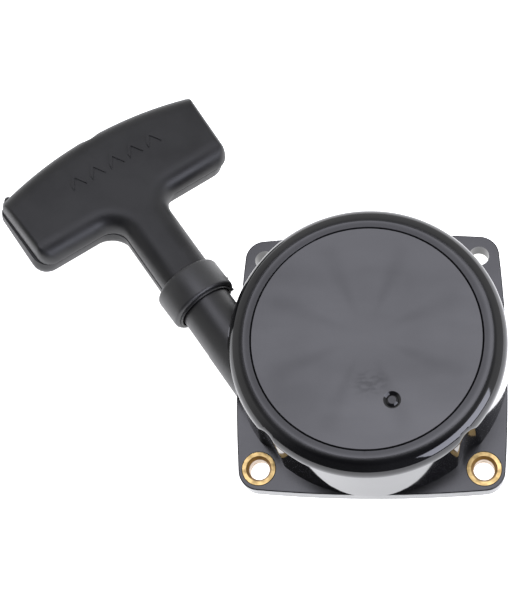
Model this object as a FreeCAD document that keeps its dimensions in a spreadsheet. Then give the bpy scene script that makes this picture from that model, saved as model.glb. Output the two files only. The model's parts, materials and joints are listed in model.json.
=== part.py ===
import FreeCAD, Part
import math
import os
import Sketcher

# Recoil starter for a small two-stroke engine.
# Row frame: origin on the spin axis in the mounting face, +Z away from the engine,
# +X and +Y along the sides of the square flange.  Millimetres.
# The rope leaves the reel along a line in the plane z = rope_height.  Parts that sit on
# that line are modelled in their own frame: local Z along the rope, away from the reel,
# local Y up, local X away from the spin axis.

START, END = 1, 2
UP = FreeCAD.Vector(0, 0, 1)
SAME = 1e-4  # lengths closer than this are taken as equal

doc = FreeCAD.newDocument("recoil_starter")
sheet = doc.addObject("Spreadsheet::Sheet", "dims")

DIMENSIONS = {
    # flange and mounting holes
    "hole_half_pitch": 38.0, "hole_radius": 3.5, "flange_half_width": 44.5,
    "flange_half_length": 44.85, "flange_bulge": 2.2, "flange_corner_radius": 7.0,
    "flange_thickness": 7.0, "flange_edge_radius": 0.4, "relief_radius": 8.5,
    "relief_edge_radius": 3.0,
    # brass bushes of the two lower holes
    "bush_radius": 5.7, "bush_rim_width": 1.3, "bush_mouth_depth": 1.8, "bush_seat": 0.25,
    # cup
    "cup_base_radius": 47.3, "cup_top_radius": 45.9, "cup_height": 35.5,
    "shoulder_radius": 5.5, "seam_radius": 38.15, "seam_width": 0.64, "seam_depth": 0.4,
    "cavity_base_radius": 43.7, "cavity_top_radius": 43.0, "ceiling_height": 33.0,
    "rib_count": 8, "rib_angle": 23.0, "rib_width": 1.6, "rib_depth": 1.2,
    "rib_overlap": 0.5,
    "rib_inner_radius": 10.0, "rib_outer_radius": 41.0,
    "boss_radius": 9.0, "boss_bottom": 21.0, "boss_slit": 1.0,
    "gate_across": 8.6, "gate_down": 21.6, "gate_radius": 2.9, "gate_floor_radius": 2.0,
    "gate_depth": 0.6, "gate_nub_radius": 1.3, "gate_nub_height": 0.45,
    "witness_width": 0.4, "witness_length": 1.7, "witness_depth": 1.0,
    # rope line and spout
    "rope_offset": 36.1, "rope_height": 21.5, "rope_angle": 125.8, "rope_radius": 1.75,
    "spout_radius": 9.26, "spout_end": 50.0, "spout_bore_radius": 5.0, "spout_start": 12.0,
    "spout_root_step": 0.1, "spout_root_end": 29.5,
    "ferrule_start": 42.0, "ferrule_flange_radius": 7.4, "ferrule_flange": 1.4,
    "ferrule_hole_radius": 2.4, "ferrule_lip": 1.0,
    # fixed centre stack
    "shaft_radius": 5.0, "shaft_bottom": 5.3, "screw_radius": 1.96, "screw_depth": 14.0,
    "screw_head_radius": 4.0, "screw_head": 2.4, "recess_length": 5.0, "recess_width": 1.1,
    "recess_depth": 1.4, "lock_washer": 0.9, "lock_washer_radius": 3.9, "lock_washer_split": 0.5,
    "retainer_radius": 9.0, "retainer": 1.1, "washer_outer_radius": 8.6, "washer": 0.7,
    "running_gap": 0.05,
    # reel
    "reel_radius": 41.5, "cheek_bottom": 15.7, "cheek_top": 27.3, "cheek_rim": 0.9,
    "cheek_root": 1.8, "groove_radius": 25.6, "spring_room_radius": 24.0,
    "reel_rim_top": 30.3, "web_bottom": 16.6, "web_top": 20.0, "hub_radius": 9.0,
    "hub_bottom": 10.6, "reel_bush_radius": 6.5, "spring_plate": 0.8,
    "spring_plate_hole_radius": 10.5, "wrap_radius": 27.5, "wrap_layer": 3.6, "wrap_rise": 3.7,
    "wraps_per_layer": 1.9, "reel_knot_distance": 29.2, "reel_knot_turn": -14.0,
    "reel_knot_radius": 3.3, "reel_knot_height": 3.8,
    # recoil spring
    "strip_thickness": 0.6, "strip_bottom": 20.7, "strip_top": 29.7, "strip_inner_radius": 10.0,
    "strip_turns": 7.0, "strip_pitch": 1.9,
    # pawls, their pins and the guide
    "pawl_pivot_radius": 17.5, "pawl_bottom": 11.0, "pawl_thickness": 4.4, "pawl_eye_radius": 3.8,
    "pawl_width": 5.0, "pawl_length": 14.0, "pawl_rest_angle": 104.0, "pawl_tip_angle": 35.0,
    "pawl_pin_radius": 2.0, "peg_distance": 7.0, "peg_radius": 1.4, "peg_length": 2.4,
    "guide_radius": 24.5, "guide_bottom": 8.3, "guide_thickness": 2.2, "guide_lag": 20.0,
    "pawl_swing": 30.0, "slot_gap": 0.35, "brake_wire_radius": 0.45, "brake_coil_radius": 7.0,
    "brake_turns": 2.0,
    # handle
    "handle_roll": 8.4, "collar_start": 45.8, "collar_end": 57.6, "collar_radius": 11.9,
    "collar_bore_radius": 9.7, "collar_floor": 51.9, "stem_half_width": 9.4,
    "stem_half_depth": 8.2, "flare_start": 82.3, "bar_bottom": 88.9, "bar_half_length": 40.9,
    "bar_shift": 0.6, "bar_foot_half_length": 39.8, "bar_end_top": 118.6, "bar_crown": 124.9,
    "bar_half_depth": 7.4, "bar_edge_radius": 3.2, "bar_foot_radius": 5.2,
    "bar_shoulder_radius": 2.0, "armpit_half_width": 13.0, "handle_hole_radius": 2.3,
    "knot_floor": 101.0, "knot_room_radius": 6.0, "knot_radius": 4.6, "knot_length": 7.0,
    "knot_washer": 1.2, "knot_washer_radius": 5.6, "rope_end": 103.0,
}


def fill_sheet():
    """Write every driving dimension as a plain number with an alias."""
    for row, (alias, number) in enumerate(DIMENSIONS.items(), start=1):
        sheet.set(f"A{row}", alias)
        sheet.set(f"B{row}", str(number))
        sheet.setAlias(f"B{row}", alias)
    doc.recompute()


fill_sheet()


def value(expression):
    """Number that an expression gives with the sheet's present cells."""
    result = sheet.evalExpression(expression)
    return float(getattr(result, "Value", result))


def bind(thing, **expressions):
    """Bind properties of an object to expressions."""
    for name, expression in expressions.items():
        thing.setExpression(name, expression)
    return thing


def spot(across=0.0, up=0.0, height=0.0, turned=0.0):
    """Placement at a point, turned about Z by an angle in degrees."""
    return FreeCAD.Placement(FreeCAD.Vector(across, up, height), FreeCAD.Rotation(UP, turned))


# ---------------------------------------------------------------- PartDesign helpers

def new_body(label):
    body = doc.addObject("PartDesign::Body", label)
    body.Label = label
    return body


def attach(feature, body, role, offset=None):
    """Attach a sketch or primitive to one of its own body's origin planes."""
    plane = next(item for item in body.Origin.OriginFeatures if item.Role == role)
    feature.AttachmentSupport = [(plane, "")]
    feature.MapMode = "FlatFace"
    if offset is not None:
        feature.AttachmentOffset = offset


def new_sketch(body, role, name, offset=None):
    sketch = body.newObject("Sketcher::SketchObject", name)
    attach(sketch, body, role, offset)
    return sketch


def pin_point(sketch, kind, curve, point, expression):
    """Fix one coordinate of a sketch point, measured from the sketch origin."""
    number = value(expression)
    if abs(number) < SAME:
        axis = -2 if kind == "DistanceX" else -1
        sketch.addConstraint(Sketcher.Constraint("PointOnObject", curve, point, axis))
        return
    index = sketch.addConstraint(Sketcher.Constraint(kind, -1, 1, curve, point, number))
    sketch.setExpression(f"Constraints[{index}]", expression)


def polygon(sketch, corners):
    """Closed outline through corners given as pairs of expressions."""
    points = [FreeCAD.Vector(value(across), value(up), 0) for across, up in corners]
    first = sketch.GeometryCount
    count = len(points)
    for i in range(count):
        sketch.addGeometry(Part.LineSegment(points[i], points[(i + 1) % count]))
    for i in range(count):
        following = first + (i + 1) % count
        sketch.addConstraint(Sketcher.Constraint("Coincident", first + i, END, following, START))
    for i, (across, up) in enumerate(corners):
        pin_point(sketch, "DistanceX", first + i, START, across)
        pin_point(sketch, "DistanceY", first + i, START, up)


def circle(sketch, across, up, radius):
    """Circle whose centre and radius are expressions."""
    centre = FreeCAD.Vector(value(across), value(up), 0)
    curve = sketch.addGeometry(Part.Circle(centre, UP, value(radius)))
    pin_point(sketch, "DistanceX", curve, 3, across)
    pin_point(sketch, "DistanceY", curve, 3, up)
    index = sketch.addConstraint(Sketcher.Constraint("Radius", curve, value(radius)))
    sketch.setExpression(f"Constraints[{index}]", radius)


def revolve(body, name, corners, kind="PartDesign::Revolution"):
    """Turn a closed (radius, height) outline about Z, adding or cutting."""
    sketch = new_sketch(body, "XZ_Plane", name + "_profile")
    polygon(sketch, corners)
    turned = body.newObject(kind, name)
    turned.Profile = sketch
    turned.ReferenceAxis = (sketch, ["V_Axis"])
    turned.Angle = 360
    doc.recompute()
    return turned


def round_edges(body, name, wanted, radius):
    """Fillet the edges of the body's tip that pass the test."""
    base = body.Tip
    edges = base.Shape.Edges
    names = [f"Edge{i}" for i, edge in enumerate(edges, start=1) if wanted(edge)]
    fillet = body.newObject("PartDesign::Fillet", name)
    fillet.Base = (base, names)
    bind(fillet, Radius=radius)
    doc.recompute()
    return fillet


def solid_feature(body, name, kind, place, **sizes):
    """Additive or subtractive primitive of a body, standing on a placement."""
    feature = body.newObject("PartDesign::" + kind, name)
    attach(feature, body, "XY_Plane", place)
    bind(feature, **sizes)
    doc.recompute()
    return feature


def cylinder_feature(body, name, kind, radius, height, place):
    return solid_feature(body, name, kind + "Cylinder", place, Radius=radius, Height=height)


# ------------------------------------------------------------------------ Part helpers

def stand(part, corner):
    """Bind an upright primitive's base point to three expressions."""
    for axis, expression in zip("xyz", corner):
        part.setExpression("Placement.Base." + axis, expression)
    return part


def cylinder(name, radius, height, base="0", across="0", up="0"):
    part = doc.addObject("Part::Cylinder", name)
    bind(part, Radius=radius, Height=height)
    return stand(part, (across, up, base))


def free_box(name, length, width, height):
    """Box whose placement is set by the caller."""
    part = doc.addObject("Part::Box", name)
    return bind(part, Length=length, Width=width, Height=height)


def box(name, length, width, height, low_x, low_y, low_z):
    return stand(free_box(name, length, width, height), (low_x, low_y, low_z))


def cut(label, base, tool):
    result = doc.addObject("Part::Cut", label)
    result.Base = base
    result.Tool = tool
    result.Label = label
    return result


def fuse(label, parts):
    result = doc.addObject("Part::MultiFuse", label)
    result.Shapes = parts
    result.Label = label
    result.Refine = True
    return result


def ring(label, outer, inner, height, base):
    """Flat washer or tube about the Z axis."""
    outside = cylinder(label + "_outside", outer, height, base)
    hole = cylinder(label + "_hole", inner, height, base)
    return cut(label, outside, hole)


# ----------------------------------------------------------------------- the rope line

def rope_directions():
    """Unit vectors along the rope and away from the spin axis."""
    angle = math.radians(value("dims.rope_angle"))
    along = FreeCAD.Vector(math.cos(angle), math.sin(angle), 0)
    away = FreeCAD.Vector(-along.y, along.x, 0)
    return along, away


def on_rope_line(distance=0.0, roll=0.0):
    """Placement on the rope line: local Z along the rope, local X away from the spin axis."""
    along, away = rope_directions()
    base = away * value("dims.rope_offset") + along * distance
    base.z = value("dims.rope_height")
    turn = FreeCAD.Rotation(away, UP, along, "ZXY")
    return FreeCAD.Placement(base, turn * FreeCAD.Rotation(UP, roll))


# --------------------------------------------------------------------------- housing

def flange_outline(sketch):
    """Near-square plate whose four sides bulge outward as shallow arcs."""
    bulge = value("dims.flange_bulge")
    reaches = ["dims.flange_half_width", "dims.flange_half_length"] * 2
    for quarter, reach in enumerate(reaches):
        chord = value(reaches[quarter - 1])
        side_radius = (chord ** 2 + bulge ** 2) / (2 * bulge)
        middle = math.radians(90 * quarter)
        outward = FreeCAD.Vector(math.cos(middle), math.sin(middle), 0)
        centre = outward * (value(reach) + bulge - side_radius)
        spread = math.asin(chord / side_radius)
        side = Part.Circle(centre, UP, side_radius)
        sketch.addGeometry(Part.ArcOfCircle(side, middle - spread, middle + spread))
    for quarter in range(4):
        following = (quarter + 1) % 4
        sketch.addConstraint(Sketcher.Constraint("Coincident", quarter, END, following, START))
        side_radius = sketch.Geometry[quarter].Radius
        index = sketch.addConstraint(Sketcher.Constraint("Radius", quarter, side_radius))
        chord = reaches[quarter - 1]
        formula = f"({chord} ^ 2 + dims.flange_bulge ^ 2) / (2 * dims.flange_bulge)"
        sketch.setExpression(f"Constraints[{index}]", formula)
    pin_point(sketch, "DistanceX", 0, END, "dims.flange_half_width")
    pin_point(sketch, "DistanceY", 0, END, "dims.flange_half_length")
    pin_point(sketch, "DistanceX", 2, END, "-dims.flange_half_width")
    pin_point(sketch, "DistanceY", 2, END, "-dims.flange_half_length")


def circle_pair(sketch, row, radius):
    """One circle on each bolt axis of the upper or lower row."""
    for side in ("", "-"):
        circle(sketch, side + "dims.hole_half_pitch", row + "dims.hole_half_pitch", radius)


def is_upright(edge):
    """True for a straight edge parallel to Z."""
    if not isinstance(edge.Curve, Part.Line):
        return False
    return abs(abs(edge.Curve.Direction.z) - 1) < SAME


def at_height(edge, height):
    """True for an edge that lies in the plane z = height."""
    return abs(edge.BoundBox.ZMin - height) < SAME and abs(edge.BoundBox.ZMax - height) < SAME


def build_housing():
    body = new_body("housing")
    plate = new_sketch(body, "XY_Plane", "flange_sketch")
    flange_outline(plate)
    pad = body.newObject("PartDesign::Pad", "flange")
    pad.Profile = plate
    bind(pad, Length="dims.flange_thickness")
    doc.recompute()
    round_edges(body, "flange_corners", is_upright, "dims.flange_corner_radius")
    top = value("dims.flange_thickness")
    round_edges(body, "flange_rim", lambda edge: at_height(edge, top), "dims.flange_edge_radius")

    revolve(body, "cup", [
        ("0", "dims.flange_thickness / 2"),
        ("dims.cup_base_radius", "dims.flange_thickness / 2"),
        ("dims.cup_base_radius", "dims.flange_thickness"),
        ("dims.cup_top_radius", "dims.cup_height"),
        ("0", "dims.cup_height"),
    ])
    crown = value("dims.cup_height")
    round_edges(body, "shoulder", lambda edge: at_height(edge, crown), "dims.shoulder_radius")

    spout_place = on_rope_line(value("dims.spout_start"))
    cylinder_feature(body, "spout", "Additive", "dims.spout_radius",
                     "dims.spout_end - dims.spout_start", spout_place)
    cylinder_feature(body, "spout_root", "Additive", "dims.spout_radius + dims.spout_root_step",
                     "dims.spout_root_end - dims.spout_start", spout_place)
    revolve(body, "cavity", [
        ("0", "0"),
        ("dims.cavity_base_radius", "0"),
        ("dims.cavity_top_radius", "dims.ceiling_height"),
        ("dims.boss_radius", "dims.ceiling_height"),
        ("dims.boss_radius", "dims.boss_bottom"),
        ("0", "dims.boss_bottom"),
    ], "PartDesign::Groove")
    cylinder_feature(body, "spout_bore", "Subtractive", "dims.spout_bore_radius",
                     "dims.spout_end - dims.spout_start + 1", spout_place)
    add_ribs(body)
    cut_screw_reliefs(body)
    cut_corner_holes(body)
    cut_centre(body)
    cut_top_marks(body)
    return body


def add_ribs(body):
    """Radial ribs under the ceiling."""
    low = value("dims.ceiling_height - dims.rib_depth")
    place = spot(height=low, turned=value("dims.rib_angle"))
    sketch = new_sketch(body, "XY_Plane", "rib_sketch", place)
    polygon(sketch, [
        ("dims.rib_inner_radius", "-dims.rib_width / 2"),
        ("dims.rib_outer_radius", "-dims.rib_width / 2"),
        ("dims.rib_outer_radius", "dims.rib_width / 2"),
        ("dims.rib_inner_radius", "dims.rib_width / 2"),
    ])
    rib = body.newObject("PartDesign::Pad", "rib")
    rib.Profile = sketch
    bind(rib, Length="dims.rib_depth + dims.rib_overlap")
    doc.recompute()
    pattern = body.newObject("PartDesign::PolarPattern", "ribs")
    pattern.Originals = [rib]
    pattern.Axis = (sketch, ["N_Axis"])
    pattern.Angle = 360
    bind(pattern, Occurrences="dims.rib_count")
    body.Tip = pattern
    doc.recompute()


def cut_screw_reliefs(body):
    """Room in the cup wall for the bolt heads of the two bushed holes."""
    sketch = new_sketch(body, "XY_Plane", "relief_sketch", spot(height=value("dims.flange_thickness")))
    circle_pair(sketch, "-", "dims.relief_radius")
    pocket = body.newObject("PartDesign::Pocket", "screw_reliefs")
    pocket.Profile = sketch
    pocket.Reversed = True
    bind(pocket, Length="dims.cup_height")
    doc.recompute()
    bolt_distance = value("dims.hole_half_pitch")
    least_climb = value("dims.cup_height") / 3

    def is_relief_side(edge):
        """True for an edge that climbs the cup wall at the relief's own radius."""
        middle = edge.valueAt((edge.FirstParameter + edge.LastParameter) / 2)
        from_bolt = math.hypot(abs(middle.x) - bolt_distance, abs(middle.y) - bolt_distance)
        on_relief = abs(from_bolt - value("dims.relief_radius")) < 0.01
        return on_relief and edge.BoundBox.ZLength > least_climb

    round_edges(body, "relief_sides", is_relief_side, "dims.relief_edge_radius")


def cut_corner_holes(body):
    """Two plain holes above, two larger holes for the brass bushes below."""
    sketch = new_sketch(body, "XY_Plane", "hole_sketch")
    circle_pair(sketch, "-", "dims.bush_radius")
    circle_pair(sketch, "", "dims.hole_radius")
    pocket = body.newObject("PartDesign::Pocket", "corner_holes")
    pocket.Profile = sketch
    pocket.Reversed = True
    bind(pocket, Length="dims.flange_thickness + 1")
    doc.recompute()
    pitch = value("dims.hole_half_pitch")
    for side, name in ((-1, "bush_seat_left"), (1, "bush_seat_right")):
        place = spot(side * pitch, -pitch, value("dims.flange_thickness - dims.bush_seat"))
        solid_feature(body, name, "SubtractiveCone", place, Radius1="dims.bush_radius",
                      Radius2="dims.bush_radius + dims.bush_seat", Height="dims.bush_seat")


def cut_centre(body):
    """Seat of the centre shaft and the slit that holds the spring's inner end."""
    seat = spot(height=value("dims.boss_bottom") - 1)
    cylinder_feature(body, "shaft_seat", "Subtractive", "dims.shaft_radius",
                     "dims.ceiling_height - dims.boss_bottom + 1", seat)
    corner = spot(value("dims.shaft_radius") + 1, -value("dims.boss_slit") / 2,
                  value("dims.boss_bottom") - 1)
    solid_feature(body, "spring_slit", "SubtractiveBox", corner, Length="dims.boss_radius",
                  Width="dims.boss_slit", Height="dims.strip_top - dims.boss_bottom + 1.5")


def cut_top_marks(body):
    """V-shaped ring line, a short witness mark outside it, and the gate's dimple with its nub."""
    revolve(body, "ring_line", [
        ("dims.seam_radius", "dims.cup_height - dims.seam_depth"),
        ("dims.seam_radius + dims.seam_width / 2", "dims.cup_height"),
        ("dims.seam_radius", "dims.cup_height + 1"),
        ("dims.seam_radius - dims.seam_width / 2", "dims.cup_height"),
    ], "PartDesign::Groove")
    corner = spot(-value("dims.witness_width") / 2, -value("dims.seam_radius + dims.witness_length"),
                  value("dims.cup_height - dims.witness_depth"))
    solid_feature(body, "witness_mark", "SubtractiveBox", corner, Length="dims.witness_width",
                  Width="dims.witness_length", Height="dims.witness_depth + 1")
    floor = spot(value("dims.gate_across"), -value("dims.gate_down"),
                 value("dims.cup_height - dims.gate_depth"))
    solid_feature(body, "gate_dimple", "SubtractiveCone", floor, Radius1="dims.gate_floor_radius",
                  Radius2="dims.gate_radius", Height="dims.gate_depth")
    solid_feature(body, "gate_nub", "AdditiveCone", floor, Radius1="dims.gate_floor_radius",
                  Radius2="dims.gate_nub_radius", Height="dims.gate_nub_height")


# ----------------------------------------------------------------- fixed pieces

def build_bush(label, side):
    """Brass bush with a flat rim and a mouth that narrows to the bolt hole."""
    body = new_body(label)
    rim = "dims.bush_radius - dims.bush_rim_width"
    revolve(body, label + "_wall", [
        ("dims.hole_radius", "0"),
        ("dims.bush_radius", "0"),
        ("dims.bush_radius", "dims.flange_thickness"),
        (rim, "dims.flange_thickness"),
        ("dims.hole_radius", "dims.flange_thickness - dims.bush_mouth_depth"),
    ])
    pitch = value("dims.hole_half_pitch")
    body.Placement = spot(side * pitch, -pitch)
    return body


def build_ferrule():
    """Steel eyelet in the spout's mouth, with a flared lip for the rope."""
    body = new_body("rope_ferrule")
    revolve(body, "ferrule_wall", [
        ("dims.ferrule_hole_radius", "dims.ferrule_start"),
        ("dims.spout_bore_radius", "dims.ferrule_start"),
        ("dims.spout_bore_radius", "dims.spout_end"),
        ("dims.ferrule_flange_radius", "dims.spout_end"),
        ("dims.ferrule_flange_radius", "dims.spout_end + dims.ferrule_flange / 2"),
        ("dims.ferrule_flange_radius - 0.7", "dims.spout_end + dims.ferrule_flange"),
        ("dims.ferrule_hole_radius + dims.ferrule_lip", "dims.spout_end + dims.ferrule_flange"),
        ("dims.ferrule_hole_radius", "dims.spout_end + dims.ferrule_flange - dims.ferrule_lip"),
    ])
    body.Placement = on_rope_line()
    return body


def build_centre_shaft():
    """Steel post pressed into the housing boss, threaded for the retaining screw."""
    body = new_body("centre_shaft")
    revolve(body, "shaft_wall", [
        ("dims.screw_radius", "dims.shaft_bottom"),
        ("dims.shaft_radius", "dims.shaft_bottom"),
        ("dims.shaft_radius", "dims.ceiling_height"),
        ("0", "dims.ceiling_height"),
        ("0", "dims.shaft_bottom + dims.screw_depth"),
        ("dims.screw_radius", "dims.shaft_bottom + dims.screw_depth - 1"),
    ])
    return body


def build_retaining_screw():
    """Pan-head screw with a cross recess."""
    head_top = "dims.shaft_bottom - dims.retainer - dims.lock_washer"
    head_bottom = head_top + " - dims.screw_head"
    shank = cylinder("screw_shank", "dims.screw_radius",
                     "dims.screw_depth + dims.retainer + dims.lock_washer - 2", head_top)
    head = cylinder("screw_head_blank", "dims.screw_head_radius", "dims.screw_head", head_bottom)
    blank = fuse("screw_blank", [shank, head])
    long_side, short_side = "dims.recess_length", "dims.recess_width"
    low = head_bottom + " - 1"
    bar_one = box("recess_one", long_side, short_side, "dims.recess_depth + 1",
                  "-dims.recess_length / 2", "-dims.recess_width / 2", low)
    bar_two = box("recess_two", short_side, long_side, "dims.recess_depth + 1",
                  "-dims.recess_width / 2", "-dims.recess_length / 2", low)
    return cut("retaining_screw", blank, fuse("recess", [bar_one, bar_two]))


def build_lock_washer():
    """Split spring washer under the screw head."""
    base = "dims.shaft_bottom - dims.retainer - dims.lock_washer"
    whole = ring("lock_washer_ring", "dims.lock_washer_radius", "dims.screw_radius + 0.15",
                 "dims.lock_washer", base)
    gap = box("lock_washer_gap", "dims.lock_washer_radius", "dims.lock_washer_split", "dims.lock_washer",
              "dims.screw_radius / 2", "-dims.lock_washer_split / 2", base)
    return cut("lock_washer", whole, gap)


def build_retaining_washer():
    return ring("retaining_washer", "dims.retainer_radius", "dims.screw_radius + 0.1",
                "dims.retainer", "dims.shaft_bottom - dims.retainer")


def build_thrust_washer():
    return ring("thrust_washer", "dims.washer_outer_radius", "dims.shaft_radius + dims.running_gap",
                "dims.washer", "dims.web_top + 0.15")


def build_brake_spring():
    """Round-wire coil that presses the guide and makes it lag behind the reel."""
    body = new_body("brake_spring")
    low = "dims.shaft_bottom + dims.brake_wire_radius + 0.05"
    sketch = new_sketch(body, "XZ_Plane", "brake_wire_sketch")
    circle(sketch, "dims.brake_coil_radius", low, "dims.brake_wire_radius")
    coil = body.newObject("PartDesign::AdditiveHelix", "brake_coil")
    coil.Profile = sketch
    coil.ReferenceAxis = (sketch, ["V_Axis"])
    coil.Mode = "height-turns-angle"
    room = "dims.guide_bottom - dims.shaft_bottom - 2 * dims.brake_wire_radius - 0.1"
    bind(coil, Height=room, Turns="dims.brake_turns")
    doc.recompute()
    return body


def build_recoil_spring():
    """Flat spiral strip between the boss slit and the reel's wall."""
    body = new_body("recoil_spring")
    sketch = new_sketch(body, "XZ_Plane", "strip_sketch")
    polygon(sketch, [
        ("dims.strip_inner_radius", "dims.strip_bottom"),
        ("dims.strip_inner_radius + dims.strip_thickness", "dims.strip_bottom"),
        ("dims.strip_inner_radius + dims.strip_thickness", "dims.strip_top"),
        ("dims.strip_inner_radius", "dims.strip_top"),
    ])
    coil = body.newObject("PartDesign::AdditiveHelix", "strip")
    coil.Profile = sketch
    coil.ReferenceAxis = (sketch, ["V_Axis"])
    coil.Mode = "height-turns-growth"
    coil.Height = 0
    bind(coil, Turns="dims.strip_turns", Growth="dims.strip_pitch")
    doc.recompute()
    corner = spot(value("dims.shaft_radius + 1.3"), -value("dims.strip_thickness") / 2,
                  value("dims.strip_bottom + 0.5"))
    solid_feature(body, "inner_tang", "AdditiveBox", corner,
                  Length="dims.strip_inner_radius - dims.shaft_radius - 1",
                  Width="dims.strip_thickness", Height="dims.strip_top - dims.strip_bottom - 1")
    return body


# ----------------------------------------------------------------------- reel pieces

def build_reel():
    body = new_body("reel")
    revolve(body, "reel_wall", [
        ("dims.reel_bush_radius", "dims.hub_bottom"),
        ("dims.hub_radius", "dims.hub_bottom"),
        ("dims.hub_radius", "dims.web_bottom"),
        ("dims.spring_room_radius", "dims.web_bottom"),
        ("dims.spring_room_radius", "dims.cheek_bottom"),
        ("dims.reel_radius", "dims.cheek_bottom"),
        ("dims.reel_radius", "dims.cheek_bottom + dims.cheek_rim"),
        ("dims.groove_radius", "dims.cheek_bottom + dims.cheek_root"),
        ("dims.groove_radius", "dims.cheek_top - dims.cheek_root"),
        ("dims.reel_radius", "dims.cheek_top - dims.cheek_rim"),
        ("dims.reel_radius", "dims.cheek_top"),
        ("dims.groove_radius", "dims.cheek_top"),
        ("dims.groove_radius", "dims.reel_rim_top"),
        ("dims.spring_room_radius", "dims.reel_rim_top"),
        ("dims.spring_room_radius", "dims.web_top"),
        ("dims.reel_bush_radius", "dims.web_top"),
    ])
    sketch = new_sketch(body, "XY_Plane", "pin_hole_sketch")
    circle(sketch, "dims.pawl_pivot_radius", "0", "dims.pawl_pin_radius")
    circle(sketch, "-dims.pawl_pivot_radius", "0", "dims.pawl_pin_radius")
    pocket = body.newObject("PartDesign::Pocket", "pin_holes")
    pocket.Profile = sketch
    pocket.Reversed = True
    bind(pocket, Length="dims.web_top + 1")
    doc.recompute()
    above_coil = reel_knot_spot("dims.cheek_top - 1.5 * dims.cheek_root")
    cylinder_feature(body, "knot_hole", "Subtractive", "dims.rope_radius + 0.1",
                     "2 * dims.cheek_root", above_coil)
    return body


def reel_knot_spot(height):
    """Placement over the rope's anchor hole in the reel's upper cheek."""
    turn = FreeCAD.Rotation(UP, value("dims.reel_knot_turn"))
    centre = turn.multVec(FreeCAD.Vector(value("dims.reel_knot_distance"), 0, 0))
    centre.z = value(height)
    return FreeCAD.Placement(centre, turn)


def build_reel_knot():
    """Flattened knot over the upper cheek, with the rope's tail through the cheek."""
    body = new_body("reel_knot")
    base = "dims.cheek_top"
    revolve(body, "reel_knot_barrel", [
        ("0", base + " - dims.cheek_root - 0.1"),
        ("dims.rope_radius", base + " - dims.cheek_root - 0.1"),
        ("dims.rope_radius", base),
        ("dims.reel_knot_radius - 1", base),
        ("dims.reel_knot_radius", base + " + dims.reel_knot_height * 0.3"),
        ("dims.reel_knot_radius", base + " + dims.reel_knot_height * 0.7"),
        ("dims.reel_knot_radius - 1", base + " + dims.reel_knot_height"),
        ("0", base + " + dims.reel_knot_height"),
    ])
    body.Placement = reel_knot_spot("0")
    return body


def build_reel_bush():
    return ring("reel_bush", "dims.reel_bush_radius", "dims.shaft_radius + dims.running_gap",
                "dims.web_top - dims.hub_bottom", "dims.hub_bottom")


def build_spring_plate():
    return ring("spring_plate", "dims.groove_radius", "dims.spring_plate_hole_radius",
                "dims.spring_plate", "dims.reel_rim_top")


def smooth(amount):
    """Ramp from 0 to 1 that starts and ends level."""
    amount = min(max(amount, 0.0), 1.0)
    return amount * amount * (3 - 2 * amount)


def build_rope_coil():
    """Rope wound in two layers: down the groove from its anchor, over, and up again."""
    turns = value("dims.wraps_per_layer")
    middle = value("dims.rope_height")
    rise = value("dims.wrap_rise")
    steps_per_turn = 18
    total_turns = 2 * turns + 0.3
    points = []
    for step in range(int(total_turns * steps_per_turn) + 1):
        turned = step / steps_per_turn
        climb = smooth(turned / turns) - smooth((turned - turns - 0.3) / turns)
        step_over = smooth((turned - turns) / 0.3)
        radius = value("dims.wrap_radius") + value("dims.wrap_layer") * step_over
        angle = 2 * math.pi * turned
        height = middle + rise * (0.5 - climb)
        points.append(FreeCAD.Vector(radius * math.cos(angle), radius * math.sin(angle), height))
    curve = Part.BSplineCurve()
    curve.interpolate(points)
    path = Part.Wire([curve.toShape()])
    forward = curve.tangent(curve.FirstParameter)[0]
    profile = Part.Wire([Part.makeCircle(value("dims.rope_radius"), points[0], forward)])
    rope = doc.addObject("Part::Feature", "rope_coil")
    rope.Label = "rope_coil"
    rope.Shape = path.makePipeShell([profile], True, True)
    return rope


def build_pawl_pin(label, turn):
    """Plain steel pin pressed into the reel's web."""
    pin = cylinder(label, "dims.pawl_pin_radius", "dims.web_top - dims.pawl_bottom + 0.2",
                   "dims.pawl_bottom - 0.2", turn + "dims.pawl_pivot_radius")
    pin.Label = label
    return pin


# ------------------------------------------------------------------ pawls and guide

def build_pawl(label, half_turn):
    """Lever with an eye, a chisel tip and a peg that follows the guide's slot."""
    eye = cylinder(label + "_eye", "dims.pawl_eye_radius", "dims.pawl_thickness")
    arm = box(label + "_arm", "dims.pawl_length", "dims.pawl_width", "dims.pawl_thickness",
              "0", "-dims.pawl_width / 2", "0")
    peg = cylinder(label + "_peg", "dims.peg_radius", "dims.peg_length + 0.5", "-dims.peg_length",
                   "dims.peg_distance")
    blank = fuse(label + "_blank", [eye, arm, peg])
    bore = cylinder(label + "_bore", "dims.pawl_pin_radius + dims.running_gap",
                    "dims.pawl_thickness + 2", "-1")
    chisel = box(label + "_chisel", "dims.pawl_length", "2 * dims.pawl_width",
                 "dims.pawl_thickness + 2", "dims.pawl_length", "-dims.pawl_width / 2 - 1", "-1")
    chisel.Placement.Rotation = FreeCAD.Rotation(UP, value("dims.pawl_tip_angle"))
    pawl = cut(label, blank, fuse(label + "_waste", [bore, chisel]))
    around = FreeCAD.Rotation(UP, 180.0 * half_turn)
    pivot = around.multVec(FreeCAD.Vector(value("dims.pawl_pivot_radius"), 0, 0))
    pivot.z = value("dims.pawl_bottom")
    lean = FreeCAD.Rotation(UP, -value("dims.pawl_rest_angle"))
    pawl.Placement = FreeCAD.Placement(pivot, around * lean)
    return pawl


def peg_in_guide(swing, lag):
    """Where the peg of the first pawl is, seen from the guide."""
    pivot = FreeCAD.Vector(value("dims.pawl_pivot_radius"), 0, 0)
    arm = FreeCAD.Vector(value("dims.peg_distance"), 0, 0)
    lean = FreeCAD.Rotation(UP, swing - value("dims.pawl_rest_angle"))
    return FreeCAD.Rotation(UP, -lag).multVec(pivot + lean.multVec(arm))


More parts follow.
